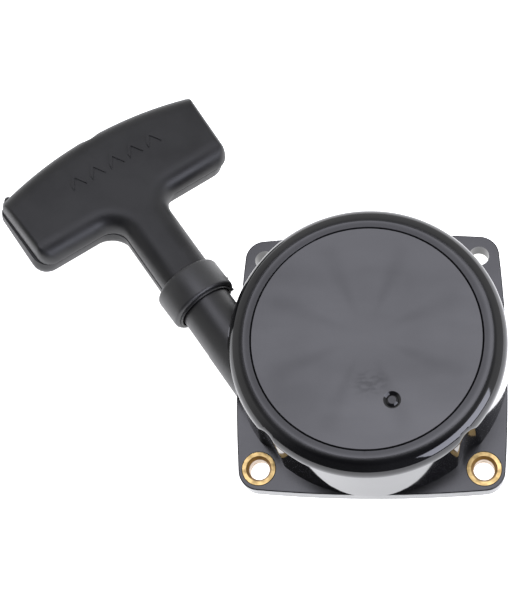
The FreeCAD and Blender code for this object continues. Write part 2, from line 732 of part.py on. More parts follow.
def build_guide():
    """Disc that lags behind the reel and swings the pawls out with two cam slots."""
    disc = cylinder("guide_disc", "dims.guide_radius", "dims.guide_thickness", "dims.guide_bottom")
    tools = [cylinder("guide_bore", "dims.shaft_radius + dims.running_gap",
                      "dims.guide_thickness + 2", "dims.guide_bottom - 1")]
    inner = peg_in_guide(0, 0)
    outer = peg_in_guide(value("dims.pawl_swing"), value("dims.guide_lag"))
    run = outer - inner
    for half_turn in range(2):
        around = FreeCAD.Rotation(UP, 180.0 * half_turn)
        for place, point in (("inner", inner), ("outer", outer)):
            middle = around.multVec(point)
            tools.append(cylinder(f"slot_{place}_{half_turn}", "dims.peg_radius + dims.slot_gap",
                                  "dims.guide_thickness + 2", "dims.guide_bottom - 1",
                                  str(middle.x), str(middle.y)))
        channel = free_box(f"slot_channel_{half_turn}", str(run.Length),
                           "2 * dims.peg_radius + 2 * dims.slot_gap", "dims.guide_thickness + 2")
        heading = math.degrees(math.atan2(run.y, run.x))
        turn = around * FreeCAD.Rotation(UP, heading)
        side = turn.multVec(FreeCAD.Vector(0, -value("dims.peg_radius + dims.slot_gap"), 0))
        corner = around.multVec(inner) + side
        corner.z = value("dims.guide_bottom") - 1
        channel.Placement = FreeCAD.Placement(corner, turn)
        tools.append(channel)
    return cut("ratchet_guide", disc, fuse("guide_waste", tools))


# ----------------------------------------------------------------- rope and handle

def build_rope_lead():
    """Straight stretch of rope from the reel to the knot in the handle."""
    rope = doc.addObject("Part::Cylinder", "rope_lead")
    bind(rope, Radius="dims.rope_radius", Height="dims.rope_end")
    rope.Placement = on_rope_line()
    return rope


def build_handle_knot():
    """Overhand knot, as a barrel around the rope's end."""
    body = new_body("handle_knot")
    base = "dims.knot_floor + dims.knot_washer"
    revolve(body, "knot_barrel", [
        ("dims.rope_radius", base),
        ("dims.knot_radius - 1.4", base),
        ("dims.knot_radius", base + " + dims.knot_length * 0.3"),
        ("dims.knot_radius", base + " + dims.knot_length * 0.7"),
        ("dims.knot_radius - 1.4", base + " + dims.knot_length"),
        ("0", base + " + dims.knot_length"),
        ("0", "dims.rope_end"),
        ("dims.rope_radius", "dims.rope_end"),
    ])
    body.Placement = on_rope_line()
    return body


def build_knot_washer():
    washer = ring("knot_washer", "dims.knot_washer_radius", "dims.rope_radius + 0.2",
                  "dims.knot_washer", "dims.knot_floor")
    washer.Placement = on_rope_line()
    return washer


def bar_outline(body):
    """Outline of the T seen from its face, whose bar reaches a little further on one side."""
    sketch = new_sketch(body, "XZ_Plane", "bar_sketch")
    half = [
        ("dims.armpit_half_width", "dims.bar_bottom"),
        ("dims.bar_foot_half_length", "dims.bar_bottom"),
        ("dims.bar_half_length", "dims.bar_end_top"),
    ]
    shift = value("dims.bar_shift")
    points = [(value(across), value(up)) for across, up in half]
    right = [FreeCAD.Vector(shift + across, up, 0) for across, up in points]
    left = [FreeCAD.Vector(shift - across, up, 0) for across, up in reversed(points)]
    crown = FreeCAD.Vector(shift, value("dims.bar_crown"), 0)
    corners = right + left
    for i in range(2):
        sketch.addGeometry(Part.LineSegment(corners[i], corners[i + 1]))
    sketch.addGeometry(Part.Arc(right[2], crown, left[0]))
    for i in range(3, 5):
        sketch.addGeometry(Part.LineSegment(corners[i], corners[i + 1]))
    sketch.addGeometry(Part.LineSegment(corners[5], corners[0]))
    for i in range(6):
        sketch.addConstraint(Sketcher.Constraint("Coincident", i, END, (i + 1) % 6, START))
    for curve, (across, up) in zip((0, 1, 2), half):
        pin_point(sketch, "DistanceX", curve, START, "dims.bar_shift + " + across)
        pin_point(sketch, "DistanceY", curve, START, up)
    for curve, (across, up) in zip((3, 4, 5), reversed(half)):
        pin_point(sketch, "DistanceX", curve, START, "dims.bar_shift - " + across)
        pin_point(sketch, "DistanceY", curve, START, up)
    return sketch


def runs_deep(edge):
    """True for a straight edge across the bar's depth."""
    return isinstance(edge.Curve, Part.Line) and abs(abs(edge.Curve.Direction.y) - 1) < SAME


def build_handle():
    """T handle: bar, flared stem and a hollow collar that covers the spout's end."""
    body = new_body("handle_grip")
    sketch = bar_outline(body)
    bar = body.newObject("PartDesign::Pad", "bar")
    bar.Profile = sketch
    bar.SideType = "Symmetric"
    bind(bar, Length="2 * dims.bar_half_depth")
    doc.recompute()

    middle = value("(dims.bar_bottom + dims.bar_end_top) / 2")
    outside = value("dims.armpit_half_width") + 1

    def is_foot(edge):
        return runs_deep(edge) and edge.BoundBox.ZMax < middle and abs(edge.BoundBox.Center.x) > outside

    def is_shoulder(edge):
        return runs_deep(edge) and edge.BoundBox.ZMin > middle

    def is_face_rim(edge):
        return edge.BoundBox.YLength < SAME and abs(edge.BoundBox.Center.y) > 1

    round_edges(body, "bar_feet", is_foot, "dims.bar_foot_radius")
    round_edges(body, "bar_shoulders", is_shoulder, "dims.bar_shoulder_radius")
    round_edges(body, "bar_rims", is_face_rim, "dims.bar_edge_radius")
    add_stem(body)
    revolve(body, "collar", [
        ("0", "dims.collar_floor"),
        ("dims.collar_bore_radius", "dims.collar_floor"),
        ("dims.collar_bore_radius", "dims.collar_start"),
        ("dims.collar_radius - 0.6", "dims.collar_start"),
        ("dims.collar_radius", "dims.collar_start + 0.6"),
        ("dims.collar_radius", "dims.collar_end - 0.8"),
        ("dims.collar_radius - 0.8", "dims.collar_end"),
        ("0", "dims.collar_end"),
    ])
    revolve(body, "rope_hole", [
        ("0", "dims.collar_floor - 1"),
        ("dims.handle_hole_radius", "dims.collar_floor - 1"),
        ("dims.handle_hole_radius", "dims.knot_floor"),
        ("dims.knot_room_radius", "dims.knot_floor"),
        ("dims.knot_room_radius", "dims.bar_crown + 1"),
        ("0", "dims.bar_crown + 1"),
    ], "PartDesign::Groove")
    body.Placement = on_rope_line(0, value("dims.handle_roll"))
    return body


def section_sketch(body, name, height, half_width, half_depth):
    """Elliptical section of the stem at one distance along the rope line."""
    sketch = new_sketch(body, "XY_Plane", name, spot(height=value(height)))
    sketch.setExpression("AttachmentOffset.Base.z", height)
    across = FreeCAD.Vector(value(half_width), 0, 0)
    deep = FreeCAD.Vector(0, value(half_depth), 0)
    major, minor = sorted((across, deep), key=lambda axis: -axis.Length)
    sketch.addGeometry(Part.Ellipse(major, minor, FreeCAD.Vector(0, 0, 0)))
    sketch.addConstraint(Sketcher.Constraint("Block", 0))
    return sketch


def add_stem(body):
    """Stem that widens smoothly into the bar."""
    wide, deep = "dims.stem_half_width", "dims.stem_half_depth"
    low = section_sketch(body, "stem_low", "dims.collar_end - 1", wide, deep)
    middle = section_sketch(body, "stem_middle", "dims.flare_start", wide, deep)
    top = section_sketch(body, "stem_top", "dims.bar_bottom + 1",
                         "dims.armpit_half_width", "dims.bar_half_depth - 0.5")
    for name, start, end in (("stem", low, middle), ("stem_flare", middle, top)):
        loft = body.newObject("PartDesign::AdditiveLoft", name)
        loft.Profile = start
        loft.Sections = [end]
        loft.Ruled = True
        doc.recompute()


# ---------------------------------------------------------------------- build and write

def build_all():
    return [
        build_housing(),
        build_bush("bush_left", -1),
        build_bush("bush_right", 1),
        build_ferrule(),
        build_centre_shaft(),
        build_retaining_screw(),
        build_lock_washer(),
        build_retaining_washer(),
        build_thrust_washer(),
        build_brake_spring(),
        build_recoil_spring(),
        build_reel(),
        build_reel_bush(),
        build_spring_plate(),
        build_rope_coil(),
        build_reel_knot(),
        build_pawl_pin("pawl_pin_a", ""),
        build_pawl_pin("pawl_pin_b", "-"),
        build_pawl("pawl_a", 0),
        build_pawl("pawl_b", 1),
        build_guide(),
        build_rope_lead(),
        build_handle_knot(),
        build_knot_washer(),
        build_handle(),
    ]


def check(pieces):
    """Stop if any object failed or any piece's shape is null or not valid."""
    failed = [thing.Name for thing in doc.Objects if {"Invalid", "Error"} & set(thing.State)]
    if failed:
        raise RuntimeError("failed objects: " + ", ".join(failed))
    for piece in pieces:
        if piece.Shape.isNull() or not piece.Shape.isValid() or not piece.Shape.Solids:
            raise RuntimeError("bad shape: " + piece.Label)


pieces = build_all()
doc.recompute()
check(pieces)
os.makedirs("parts", exist_ok=True)
for piece in pieces:
    piece.Shape.exportStep(f"parts/{piece.Label}.step")
    print(piece.Label, len(piece.Shape.Solids), round(piece.Shape.Volume), piece.Shape.BoundBox)
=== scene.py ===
import json
import math

import bmesh
import bpy
from mathutils import Matrix, Vector


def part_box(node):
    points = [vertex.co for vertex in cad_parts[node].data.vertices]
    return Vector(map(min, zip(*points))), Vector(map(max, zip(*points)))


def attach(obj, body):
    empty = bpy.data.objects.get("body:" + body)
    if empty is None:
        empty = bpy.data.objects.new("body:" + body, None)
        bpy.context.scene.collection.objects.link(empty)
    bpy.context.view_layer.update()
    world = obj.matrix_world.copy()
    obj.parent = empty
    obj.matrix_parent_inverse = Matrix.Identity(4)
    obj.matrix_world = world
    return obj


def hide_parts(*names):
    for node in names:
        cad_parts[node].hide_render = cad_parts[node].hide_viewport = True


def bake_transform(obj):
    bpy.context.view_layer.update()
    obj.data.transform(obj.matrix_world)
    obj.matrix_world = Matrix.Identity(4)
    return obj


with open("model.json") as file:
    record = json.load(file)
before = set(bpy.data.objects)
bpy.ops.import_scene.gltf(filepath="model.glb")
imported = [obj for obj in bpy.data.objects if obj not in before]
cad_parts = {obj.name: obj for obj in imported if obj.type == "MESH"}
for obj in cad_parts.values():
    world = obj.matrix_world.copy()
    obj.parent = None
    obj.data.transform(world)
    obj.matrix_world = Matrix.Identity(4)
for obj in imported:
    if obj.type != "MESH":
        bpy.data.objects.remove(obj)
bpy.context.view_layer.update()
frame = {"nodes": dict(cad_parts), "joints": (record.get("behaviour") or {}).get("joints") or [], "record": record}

MM = 0.001

# ------------------------------------------------------------------ places from the frame

JOINTS = {joint["name"]: joint for joint in frame["joints"]}
ALONG = Vector(JOINTS["rope_pull"]["axis"])
FOOT = Vector(JOINTS["handle_twist"]["pos_m"])
AWAY = Vector((FOOT.x, FOOT.y, 0)).normalized()
UP = Vector((0, 0, 1))
PULL = JOINTS["rope_pull"]["range_m"][1] / MM
CUP_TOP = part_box("housing")[1].z
FLANGE_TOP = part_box("bush_left")[1].z
WALL_LEAN = 0.049
CLEAR_OF_CUP = 47.4 * MM
SINK_COUNT, SINK_TURN = 8.0, math.radians(23.0)
SINK_INNER, SINK_OUTER = 6 * MM, 37 * MM
BORDER_RADIUS = 38.6 * MM
BUSH_MOUTH_DEPTH = 1.8 * MM
RUBBED = (1.4 * MM, -23.9 * MM)
BUSH_CENTRES = [(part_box(name)[0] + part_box(name)[1]) / 2 for name in ("bush_left", "bush_right")]


def rope_frame(roll=0.0):
    """Matrix whose Z runs along the rope, X away from the spin axis, turned by roll about Z."""
    basis = Matrix((AWAY, UP, ALONG)).transposed().to_4x4()
    return Matrix.Translation(FOOT) @ basis @ Matrix.Rotation(roll, 4, "Z")


# ------------------------------------------------------------------------ node materials

class Nodes:
    """Short way to write a node material."""

    def __init__(self, name):
        self.material = bpy.data.materials.new(name)
        self.material.use_nodes = True
        self.tree = self.material.node_tree
        self.tree.nodes.clear()
        self.output = self.tree.nodes.new("ShaderNodeOutputMaterial")
        self.shader = self.tree.nodes.new("ShaderNodeBsdfPrincipled")
        self.link(self.shader.outputs[0], self.output.inputs[0])

    def link(self, source, target):
        self.tree.links.new(source, target)

    def feed(self, socket, item):
        """Set an input from a number, a colour or another node's output."""
        if isinstance(item, bpy.types.NodeSocket):
            self.link(item, socket)
        elif isinstance(item, (int, float)) or len(item) == len(socket.default_value):
            socket.default_value = item
        else:
            socket.default_value = (*item, 1.0)

    def place(self):
        """Position in the piece's own frame, in metres."""
        return self.tree.nodes.new("ShaderNodeTexCoord").outputs["Object"]

    def math(self, operation, first, second=0.0):
        node = self.tree.nodes.new("ShaderNodeMath")
        node.operation = operation
        self.feed(node.inputs[0], first)
        self.feed(node.inputs[1], second)
        return node.outputs[0]

    def times(self, *factors):
        product = factors[0]
        for factor in factors[1:]:
            product = self.math("MULTIPLY", product, factor)
        return product

    def plus(self, first, second):
        return self.math("ADD", first, second)

    def noise(self, scale, detail=3.0, stretch=None):
        place = self.place()
        if stretch is not None:
            mapping = self.tree.nodes.new("ShaderNodeMapping")
            mapping.inputs["Scale"].default_value = stretch
            self.link(place, mapping.inputs["Vector"])
            place = mapping.outputs[0]
        node = self.tree.nodes.new("ShaderNodeTexNoise")
        self.link(place, node.inputs["Vector"])
        node.inputs["Scale"].default_value = scale
        node.inputs["Detail"].default_value = detail
        return node.outputs["Fac"]

    def ramp(self, amount, low_in, high_in, low_out=0.0, high_out=1.0):
        """Smooth step of an amount between two levels."""
        node = self.tree.nodes.new("ShaderNodeMapRange")
        node.interpolation_type = "SMOOTHSTEP"
        for socket, item in zip(node.inputs[:5], (amount, low_in, high_in, low_out, high_out)):
            self.feed(socket, item)
        return node.outputs[0]

    def mix(self, amount, first, second):
        node = self.tree.nodes.new("ShaderNodeMix")
        node.data_type = "RGBA"
        self.feed(node.inputs[0], amount)
        self.feed(node.inputs[6], first)
        self.feed(node.inputs[7], second)
        return node.outputs[2]

    def split(self, vector=None):
        node = self.tree.nodes.new("ShaderNodeSeparateXYZ")
        self.link(self.place() if vector is None else vector, node.inputs[0])
        return node.outputs

    def radius(self, x, y, centre=(0.0, 0.0)):
        """Distance from an upright axis."""
        across = self.math("SUBTRACT", x, centre[0])
        up = self.math("SUBTRACT", y, centre[1])
        return self.math("SQRT", self.plus(self.times(across, across), self.times(up, up)))

    def bump(self, height, strength, distance, below=None):
        node = self.tree.nodes.new("ShaderNodeBump")
        node.inputs["Strength"].default_value = strength
        node.inputs["Distance"].default_value = distance
        self.feed(node.inputs["Height"], height)
        if below is not None:
            self.link(below, node.inputs["Normal"])
        return node.outputs[0]

    def set(self, **values):
        names = {"color": "Base Color", "rough": "Roughness", "metal": "Metallic", "normal": "Normal",
                 "gloss": "Specular IOR Level", "sheen": "Sheen Weight",
                 "glow": "Emission Strength", "glow_color": "Emission Color"}
        for key, item in values.items():
            self.feed(self.shader.inputs[names[key]], item)
        return self.material


def housing_plastic():
    """Black nylon: finely satin on the flat faces, glossy on the shoulder and wall; its reflection strength
    carries painted light: stronger on the near side and on the spout, weaker on the top's border ring, its recess
    and along the sink marks.
    """
    n = Nodes("housing_plastic")
    x, y, z = n.split()
    radius = n.radius(x, y)
    on_top = n.ramp(z, CUP_TOP - 0.5 * MM, CUP_TOP - 0.1 * MM)
    on_flange = n.ramp(z, FLANGE_TOP + 0.3 * MM, FLANGE_TOP + 0.1 * MM)
    flat = n.math("MAXIMUM", on_top, on_flange)
    wall = n.plus(radius, n.times(n.math("SUBTRACT", z, FLANGE_TOP), WALL_LEAN))
    cloud = n.noise(55.0, 4.0)
    color = n.mix(n.ramp(cloud, 0.35, 0.7), (0.0035, 0.0035, 0.0040), (0.0060, 0.0060, 0.0068))
    wiped = n.ramp(n.noise(38.0, 5.0, (1.0, 0.35, 1.0)), 0.40, 0.70, 0.0, 0.05)
    above = n.ramp(z, FLANGE_TOP + 0.3 * MM, FLANGE_TOP + 1.3 * MM)
    on_spout = n.times(above, n.ramp(wall, CLEAR_OF_CUP, CLEAR_OF_CUP + 0.4 * MM))
    satin = n.math("MAXIMUM", n.ramp(flat, 0.0, 1.0, 0.06, 0.20), n.times(on_spout, 0.40))
    rough = n.plus(satin, wiped)
    grain = n.bump(n.noise(1600.0, 2.0), 0.05, 0.010 * MM)
    angle = n.math("ARCTAN2", y, x)
    rib = n.math("COSINE", n.times(n.math("SUBTRACT", angle, SINK_TURN), SINK_COUNT))
    sink = n.times(n.math("POWER", n.math("MAXIMUM", rib, 0.0), 2.5), on_top)
    inside = n.times(n.ramp(radius, SINK_INNER, SINK_INNER + 10 * MM),
                     n.ramp(radius, SINK_OUTER, SINK_OUTER - 7 * MM))
    sinks = n.bump(n.times(sink, inside), -0.15, 0.10 * MM, grain)
    waves = n.bump(n.noise(60.0, 2.0), 0.20, 0.12 * MM, sinks)
    smear = n.ramp(n.noise(26.0, 5.0, (0.5, 1.6, 1.0)), 0.30, 0.70, 0.44, 0.545)
    # the smear is random gloss variation; along the sink marks the reflection is also weakened as painted shade
    smear_and_painted_sink_shade = n.plus(smear, n.times(sink, inside, -0.045))
    # painted shade: the reflection is weakened in the recess outside the top's border step and on the border ring
    # itself
    below_top = n.ramp(z, CUP_TOP - 0.04 * MM, CUP_TOP - 0.14 * MM)
    recess_shade = n.times(below_top, n.ramp(radius, BORDER_RADIUS + 1.6 * MM, BORDER_RADIUS + 1.2 * MM))
    border_ring_shade = n.times(on_top, n.ramp(radius, BORDER_RADIUS - 0.3 * MM, BORDER_RADIUS),
                     n.ramp(radius, BORDER_RADIUS + 2.9 * MM, BORDER_RADIUS + 0.3 * MM))
    # painted light: the housing's reflection is made stronger towards the near (-Y) side and weaker towards the
    # far side
    painted_near_side_light = n.ramp(y, -40 * MM, 40 * MM, 1.07, 0.92)
    rubbed = n.times(on_top, n.ramp(n.radius(x, n.times(y, 1.5), RUBBED), 8.5 * MM, 2 * MM))
    rubbing = n.times(rubbed, n.ramp(n.noise(700.0, 6.0, (0.5, 1.2, 1.0)), 0.35, 0.65, 0.02, 0.26))
    # the spout's reflection is made 1.25 times stronger as a painted highlight; the rubbing term is wear
    gloss = n.times(smear_and_painted_sink_shade, painted_near_side_light, n.ramp(recess_shade, 0.0, 1.0, 1.0, 0.62), n.ramp(border_ring_shade, 0.0, 1.0, 1.0, 0.60),
                    n.ramp(on_spout, 0.0, 1.0, 1.0, 1.25), n.math("SUBTRACT", 1.0, rubbing))
    return n.set(color=color, rough=rough, normal=waves, gloss=gloss)


def handle_plastic():
    """Satin black plastic with faint flow clouds and a painted sheen on the collar."""
    n = Nodes("handle_plastic")
    cloud = n.noise(60.0, 4.0)
    color = n.mix(n.ramp(cloud, 0.3, 0.7), (0.005, 0.005, 0.0055), (0.009, 0.009, 0.0095))
    rough = n.ramp(cloud, 0.3, 0.7, 0.40, 0.50)
    fine = n.bump(n.noise(1800.0, 2.0), 0.10, 0.012 * MM)
    surface = n.bump(n.noise(90.0, 3.0), 0.12, 0.15 * MM, fine)
    x, y = n.split()[:2]
    along = n.plus(n.times(n.math("SUBTRACT", x, FOOT.x), ALONG.x),
                   n.times(n.math("SUBTRACT", y, FOOT.y), ALONG.y))
    # painted sheen: the collar's reflection is made 1.7 times stronger
    painted_collar_sheen = n.ramp(along, (COLLAR_END + 1) * MM, COLLAR_END * MM, 1.0, 1.7)
    gloss = n.times(n.ramp(cloud, 0.3, 0.7, 0.33, 0.38), painted_collar_sheen)
    return n.set(color=color, rough=rough, normal=surface, gloss=gloss)


def brass():
    """Turned brass with fine circular tool marks and a little tarnish; the bush's cone carries painted shade and
    its bore a painted reflection.
    """
    n = Nodes("brass")
    x, y, z = n.split()
    rings = n.noise(900.0, 2.0, (1.0, 1.0, 0.2))
    cloud = n.noise(420.0, 5.0)
    nearest = n.math("MINIMUM", n.radius(x, y, BUSH_CENTRES[0]), n.radius(x, y, BUSH_CENTRES[1]))
    turned = n.math("SINE", n.times(nearest, 2 * math.pi / (0.28 * MM)))
    on_rim = n.ramp(z, FLANGE_TOP - 0.10 * MM, FLANGE_TOP - 0.02 * MM)
    in_bore = n.ramp(z, FLANGE_TOP - BUSH_MOUTH_DEPTH + 0.1 * MM, FLANGE_TOP - BUSH_MOUTH_DEPTH - 0.1 * MM)
    # painted shade and reflection: the bush's cone is coloured darker gold as painted shade, and the bore below it
    # pale as a painted reflection of the bright table
    painted_cone_and_bore = n.mix(in_bore, (0.28, 0.165, 0.045), (0.52, 0.43, 0.35))
    rim_and_painted_cone = n.mix(on_rim, painted_cone_and_bore, (0.64, 0.46, 0.20))
    color = n.mix(n.ramp(cloud, 0.45, 0.75, 0.0, 0.5), rim_and_painted_cone, (0.19, 0.12, 0.04))
    rough = n.ramp(cloud, 0.3, 0.7, 0.36, 0.50)
    grooves = n.bump(turned, 0.12, 0.010 * MM)
    return n.set(color=color, metal=1.0, rough=rough, normal=n.bump(rings, 0.15, 0.02 * MM, grooves))


def steel(name, dark, light, rough_low, rough_high):
    n = Nodes(name)
    cloud = n.noise(220.0, 5.0)
    streaks = n.noise(700.0, 2.0, (1.0, 1.0, 12.0))
    return n.set(color=n.mix(cloud, dark, light), metal=1.0,
                 rough=n.ramp(cloud, 0.3, 0.7, rough_low, rough_high),
                 normal=n.bump(streaks, 0.12, 0.02 * MM))


def moulded(name, dark, light, rough):
    n = Nodes(name)
    cloud = n.noise(90.0, 4.0)
    return n.set(color=n.mix(cloud, dark, light), rough=n.ramp(cloud, 0.3, 0.7, rough - 0.05, rough + 0.05),
                 normal=n.bump(n.noise(900.0, 2.0), 0.08, 0.03 * MM))


def rope_weave():
    n = Nodes("rope")
    fibres = n.noise(2600.0, 3.0)
    color = n.mix(fibres, (0.010, 0.010, 0.012), (0.075, 0.075, 0.085))
    return n.set(color=color, rough=0.70, sheen=0.35, normal=n.bump(fibres, 0.5, 0.08 * MM))


def make_materials():
    return {
        "housing_plastic": housing_plastic(),
        "handle_plastic": handle_plastic(),
        "brass": brass(),
        "plated_steel": steel("plated_steel", (0.50, 0.50, 0.48), (0.68, 0.68, 0.66), 0.25, 0.38),
        "spring_steel": steel("spring_steel", (0.16, 0.17, 0.20), (0.26, 0.27, 0.30), 0.22, 0.34),
        "pawl_steel": steel("pawl_steel", (0.30, 0.30, 0.29), (0.42, 0.42, 0.41), 0.35, 0.50),
        "reel_plastic": moulded("reel_plastic", (0.60, 0.58, 0.52), (0.72, 0.70, 0.64), 0.42),
        "guide_plastic": moulded("guide_plastic", (0.020, 0.020, 0.022), (0.035, 0.035, 0.037), 0.40),
        "rope": rope_weave(),
    }


def dress_cad(materials):
    """Give every CAD node its slot's material."""
    slots = {part["node"]: part["material_slot"] for part in frame["record"]["subparts"]}
    for name, node in frame["nodes"].items():
        node.data.materials.clear()
        node.data.materials.append(materials[slots[name]])


# --------------------------------------------------------------------------- mesh helpers

def new_piece(name, mesh, matrix=None):
    """Object of a mesh, with its placement baked into the mesh."""
    piece = bpy.data.objects.new(name, mesh)
    if matrix is not None:
        mesh.transform(matrix)
    bpy.context.scene.collection.objects.link(piece)
    return piece


def mesh_from_rings(name, rings, capped=True):
    """Closed skin over rings that all have the same number of points, given in millimetres."""
    shape = bmesh.new()
    loops = [[shape.verts.new(Vector(point) * MM) for point in ring] for ring in rings]
    count = len(loops[0])
    for low, high in zip(loops, loops[1:]):
        for i in range(count):
            j = (i + 1) % count
            shape.faces.new((low[i], low[j], high[j], high[i]))
    if capped:
        shape.faces.new(list(reversed(loops[0])))
        shape.faces.new(loops[-1])
    bmesh.ops.recalc_face_normals(shape, faces=shape.faces)
    mesh = bpy.data.meshes.new(name)
    shape.to_mesh(mesh)
    shape.free()
    return mesh


def turned_mesh(name, profile, steps=96):
    """Closed ring-shaped skin: an outline of (radius, height) pairs turned about Z."""
    shape = bmesh.new()
    loops = []
    for k in range(steps):
        angle = 2 * math.pi * k / steps
        side = Vector((math.cos(angle), math.sin(angle), 0))
        loops.append([shape.verts.new((side * radius + UP * height) * MM) for radius, height in profile])
    count = len(profile)
    for k in range(steps):
        here, there = loops[k], loops[(k + 1) % steps]
        for i in range(count):
            j = (i + 1) % count
            shape.faces.new((here[i], here[j], there[j], there[i]))
    bmesh.ops.recalc_face_normals(shape, faces=shape.faces)
    mesh = bpy.data.meshes.new(name)
    shape.to_mesh(mesh)
    shape.free()
    return mesh


def lathe_mesh(name, profile, steps=48):
    """Closed solid of discs stacked along Z, given as (radius, height) pairs."""
    angles = [2 * math.pi * k / steps for k in range(steps)]
    return mesh_from_rings(name, [[(radius * math.cos(a), radius * math.sin(a), height) for a in angles]
                                  for radius, height in profile])


def rounded(centre, radius, start, end, steps=6):
    """Points of an arc, angles in degrees."""
    points = []
    for k in range(steps + 1):
        angle = math.radians(start + (end - start) * k / steps)
        points.append((centre[0] + radius * math.cos(angle), centre[1] + radius * math.sin(angle)))
    return points


def combine(base, tool, operation):
    """Boolean of two objects; the base keeps the result and the tool is removed."""
    modifier = base.modifiers.new(operation, "BOOLEAN")
    modifier.operation = operation
    modifier.solver = "EXACT"
    modifier.object = tool
    bpy.context.view_layer.update()
    result = bpy.data.meshes.new_from_object(base.evaluated_get(bpy.context.evaluated_depsgraph_get()))
    base.modifiers.clear()
    base.data = result
    bpy.data.objects.remove(tool)


def smooth(piece, sharp_degrees=40.0):
    mesh = piece.data
    mesh.polygons.foreach_set("use_smooth", [True] * len(mesh.polygons))
    mesh.set_sharp_from_angle(angle=math.radians(sharp_degrees))
    mesh.update()


def finish_piece(piece, body, slot_name, materials, replaced=()):
    """Material, body and slot of a finished piece."""
    piece.data.materials.clear()
    piece.data.materials.append(materials[slot_name])
    if body is not None:
        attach(piece, body)
    if replaced:
        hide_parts(*replaced)


# --------------------------------------------------------------------------------- handle
# Handle frame, in millimetres: Z along the rope, X along the bar, Y through its thickness.

ROLL = math.radians(8.4)
BAR_TAPER, BAR_FOOT, BAR_END_TOP, BAR_CROWN = 0.038, 88.9, 118.4, 124.7
HALF_DEPTH, END_SHARE, STEM_START, ARMPIT_RADIUS = 7.4, 0.35, 55.0, 6.4
UPPER_MOULD = {"reach": 40.05, "stem": 9.25, "stem_shift": -0.15, "foot_shift": 0.2, "top_shift": 0.2,
               "foot": 5.5, "corner": 3.2, "rounding": 7.5, "fullness": 2.4, "side": 1,
               "first_share": 1.0}
LOWER_MOULD = {"reach": 40.7, "stem": 9.2, "stem_shift": 0.5, "foot_shift": 1.9, "top_shift": 0.8,
               "foot": 7.0, "corner": 3.2, "rounding": 5.0, "fullness": 3.0, "side": -1,
               "first_share": 0.3}
FULL_SHIFT_DEPTH = 3.0
GROOVE_DEPTH, GROOVE_HALF = 0.4, 0.12
COLLAR_START, COLLAR_END, COLLAR_FLOOR = 45.8, 57.6, 51.9
COLLAR_RADIUS, COLLAR_BORE, ROPE_HOLE = 12.05, 9.75, 2.3
COLLAR_LEAN = math.radians(2.0)
KNOT_FLOOR, KNOT_ROOM = 101.0, 6.0
CHEVRONS, CHEVRON_FOOT = (-18.0, -10.2, -2.4, 5.4, 13.2), 106.4
FLASHES = ((36.4, 120.3, 1.5, 1.3), (37.8, 119.5, 1.1, 1.0), (-2.2, 124.9, 0.9, 0.9),
           (-11.8, 50.6, 0.5, 0.4), (-11.0, 46.0, 0.6, 0.5))  # across, along, radius, half depth


def half_outline(mould, inset):
    """Right half of the T, from the stem's start to the crown's middle, drawn in by inset."""
    points = [(mould["stem"] - inset, STEM_START)]
    armpit = (mould["stem"] + ARMPIT_RADIUS, BAR_FOOT - ARMPIT_RADIUS)
    points += rounded(armpit, ARMPIT_RADIUS + inset, 180, 90, 10)
    foot_radius = max(mould["foot"] - inset, 0.3)
    foot_height = BAR_FOOT + inset + foot_radius
    taper = BAR_TAPER * (foot_height - BAR_END_TOP)
    foot_across = mould["reach"] + taper - END_SHARE * inset - foot_radius
    points += rounded((foot_across, foot_height), foot_radius, -90, 0, 9)
    rise = BAR_CROWN - BAR_END_TOP
    crown_radius = (mould["reach"] ** 2 + rise ** 2) / (2 * rise)
    crown_centre = BAR_CROWN - crown_radius
    crown_radius -= inset
    corner_radius = max(mould["corner"] - inset, 0.3)
    across = mould["reach"] - END_SHARE * inset - corner_radius
    height = crown_centre + math.sqrt((crown_radius - corner_radius) ** 2 - across ** 2)
    lean = math.degrees(math.atan2(height - crown_centre, across))
    points += rounded((across, height), corner_radius, 0, lean, 6)
    points += rounded((0, crown_centre), crown_radius, lean, 90, 24)[1:]
    return points


def outline_ring(mould, inset, depth, share=1.0):
    """Whole T outline at one depth; stem and bar take a share of their own small shifts along X."""
    right = half_outline(mould, inset)
    left = [(-across, up) for across, up in reversed(right[:-1])]
    ring = []
    for across, up in right + left:
        on_bar = min(max((up - BAR_FOOT + ARMPIT_RADIUS) / ARMPIT_RADIUS, 0.0), 1.0)
        on_top = min(max((up - BAR_FOOT) / (BAR_END_TOP - BAR_FOOT), 0.0), 1.0)
        bar_shift = mould["foot_shift"] + (mould["top_shift"] - mould["foot_shift"]) * on_top
        shift = mould["stem_shift"] * (1 - on_bar) + bar_shift * on_bar
        ring.append((across + shift * share, depth, up))
    return ring


def mould_half(mould, steps=11):
    """Outlines from the parting groove to one face, along a superellipse."""
    power = 2 / mould["fullness"]
    levels = [(0.0, GROOVE_HALF), (0.0, 0.6), (0.0, 1.2)]
    for k in range(1, steps + 1):
        angle = math.pi / 2 * k / steps
        depth = HALF_DEPTH * math.sin(angle) ** power
        if depth > 1.5:
            levels.append((mould["rounding"] * (1 - math.cos(angle) ** power), depth))
    rings = []
    for inset, depth in levels:
        share = min(1.0, mould["first_share"] + (1 - mould["first_share"]) * depth / FULL_SHIFT_DEPTH)
        rings.append(outline_ring(mould, inset, mould["side"] * depth, share))
    return rings


def handle_skin():
    """T-shaped body whose two mould halves meet, slightly offset, at a fine groove."""
    groove = outline_ring(UPPER_MOULD, GROOVE_DEPTH, 0.0)
    lower = list(reversed(mould_half(LOWER_MOULD)))
    return mesh_from_rings("handle_skin", lower + [groove] + mould_half(UPPER_MOULD))


